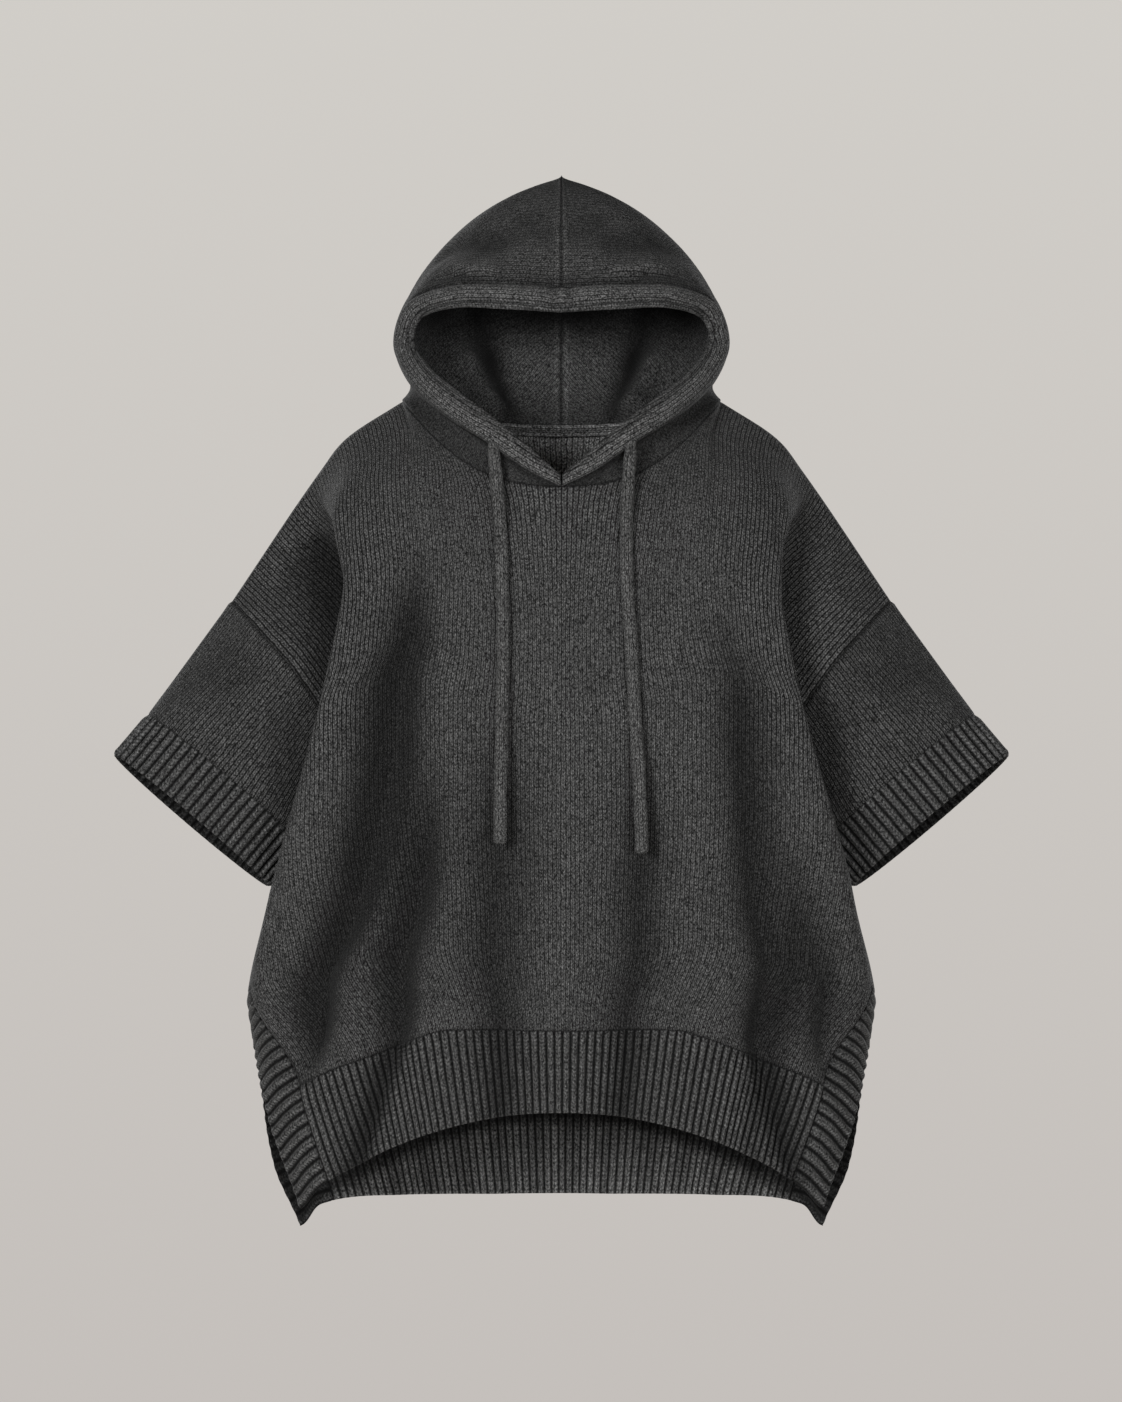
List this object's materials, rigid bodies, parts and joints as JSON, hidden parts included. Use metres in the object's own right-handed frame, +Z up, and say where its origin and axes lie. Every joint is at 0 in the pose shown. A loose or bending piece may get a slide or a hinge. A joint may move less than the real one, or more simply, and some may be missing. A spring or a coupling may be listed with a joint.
{
  "type": "hooded poncho sweater",
  "caption": "Wide hooded sweater in chunky knit wool with dropped shoulders, short sleeves, ribbed cuffs and hem, side slits and hanging drawstrings, hollow as if worn.",
  "frame": {"origin": "where the garment is held: midway between the two points at which the shoulder seams reach the neck", "axes": "+Z up, the front of the garment faces -Y, +X to the right as seen by someone who looks at the front"},
  "size_m": [0.761, 0.2843, 0.8952],
  "materials": {
    "body_knit": "charcoal marl stockinette knit, matt and slightly hairy",
    "rib_knit": "charcoal marl ribbed knit, matt",
    "tape": "charcoal knitted tape, matt",
    "cord": "charcoal knitted cord, matt"
  },
  "bodies": {
    "root": {"front_panel": "body_knit", "back_panel": "body_knit", "front_hem_rib": "rib_knit", "back_hem_rib": "rib_knit", "front_slit_band_left": "rib_knit", "front_slit_band_right": "rib_knit", "back_slit_band_left": "rib_knit", "back_slit_band_right": "rib_knit", "sleeve_left": "body_knit", "sleeve_right": "body_knit", "cuff_left": "rib_knit", "cuff_right": "rib_knit", "hood_left": "body_knit", "hood_right": "body_knit", "hood_casing": "body_knit", "neck_tape": "tape", "drawstring_left": "cord", "drawstring_right": "cord"}
  },
  "joints": []
}
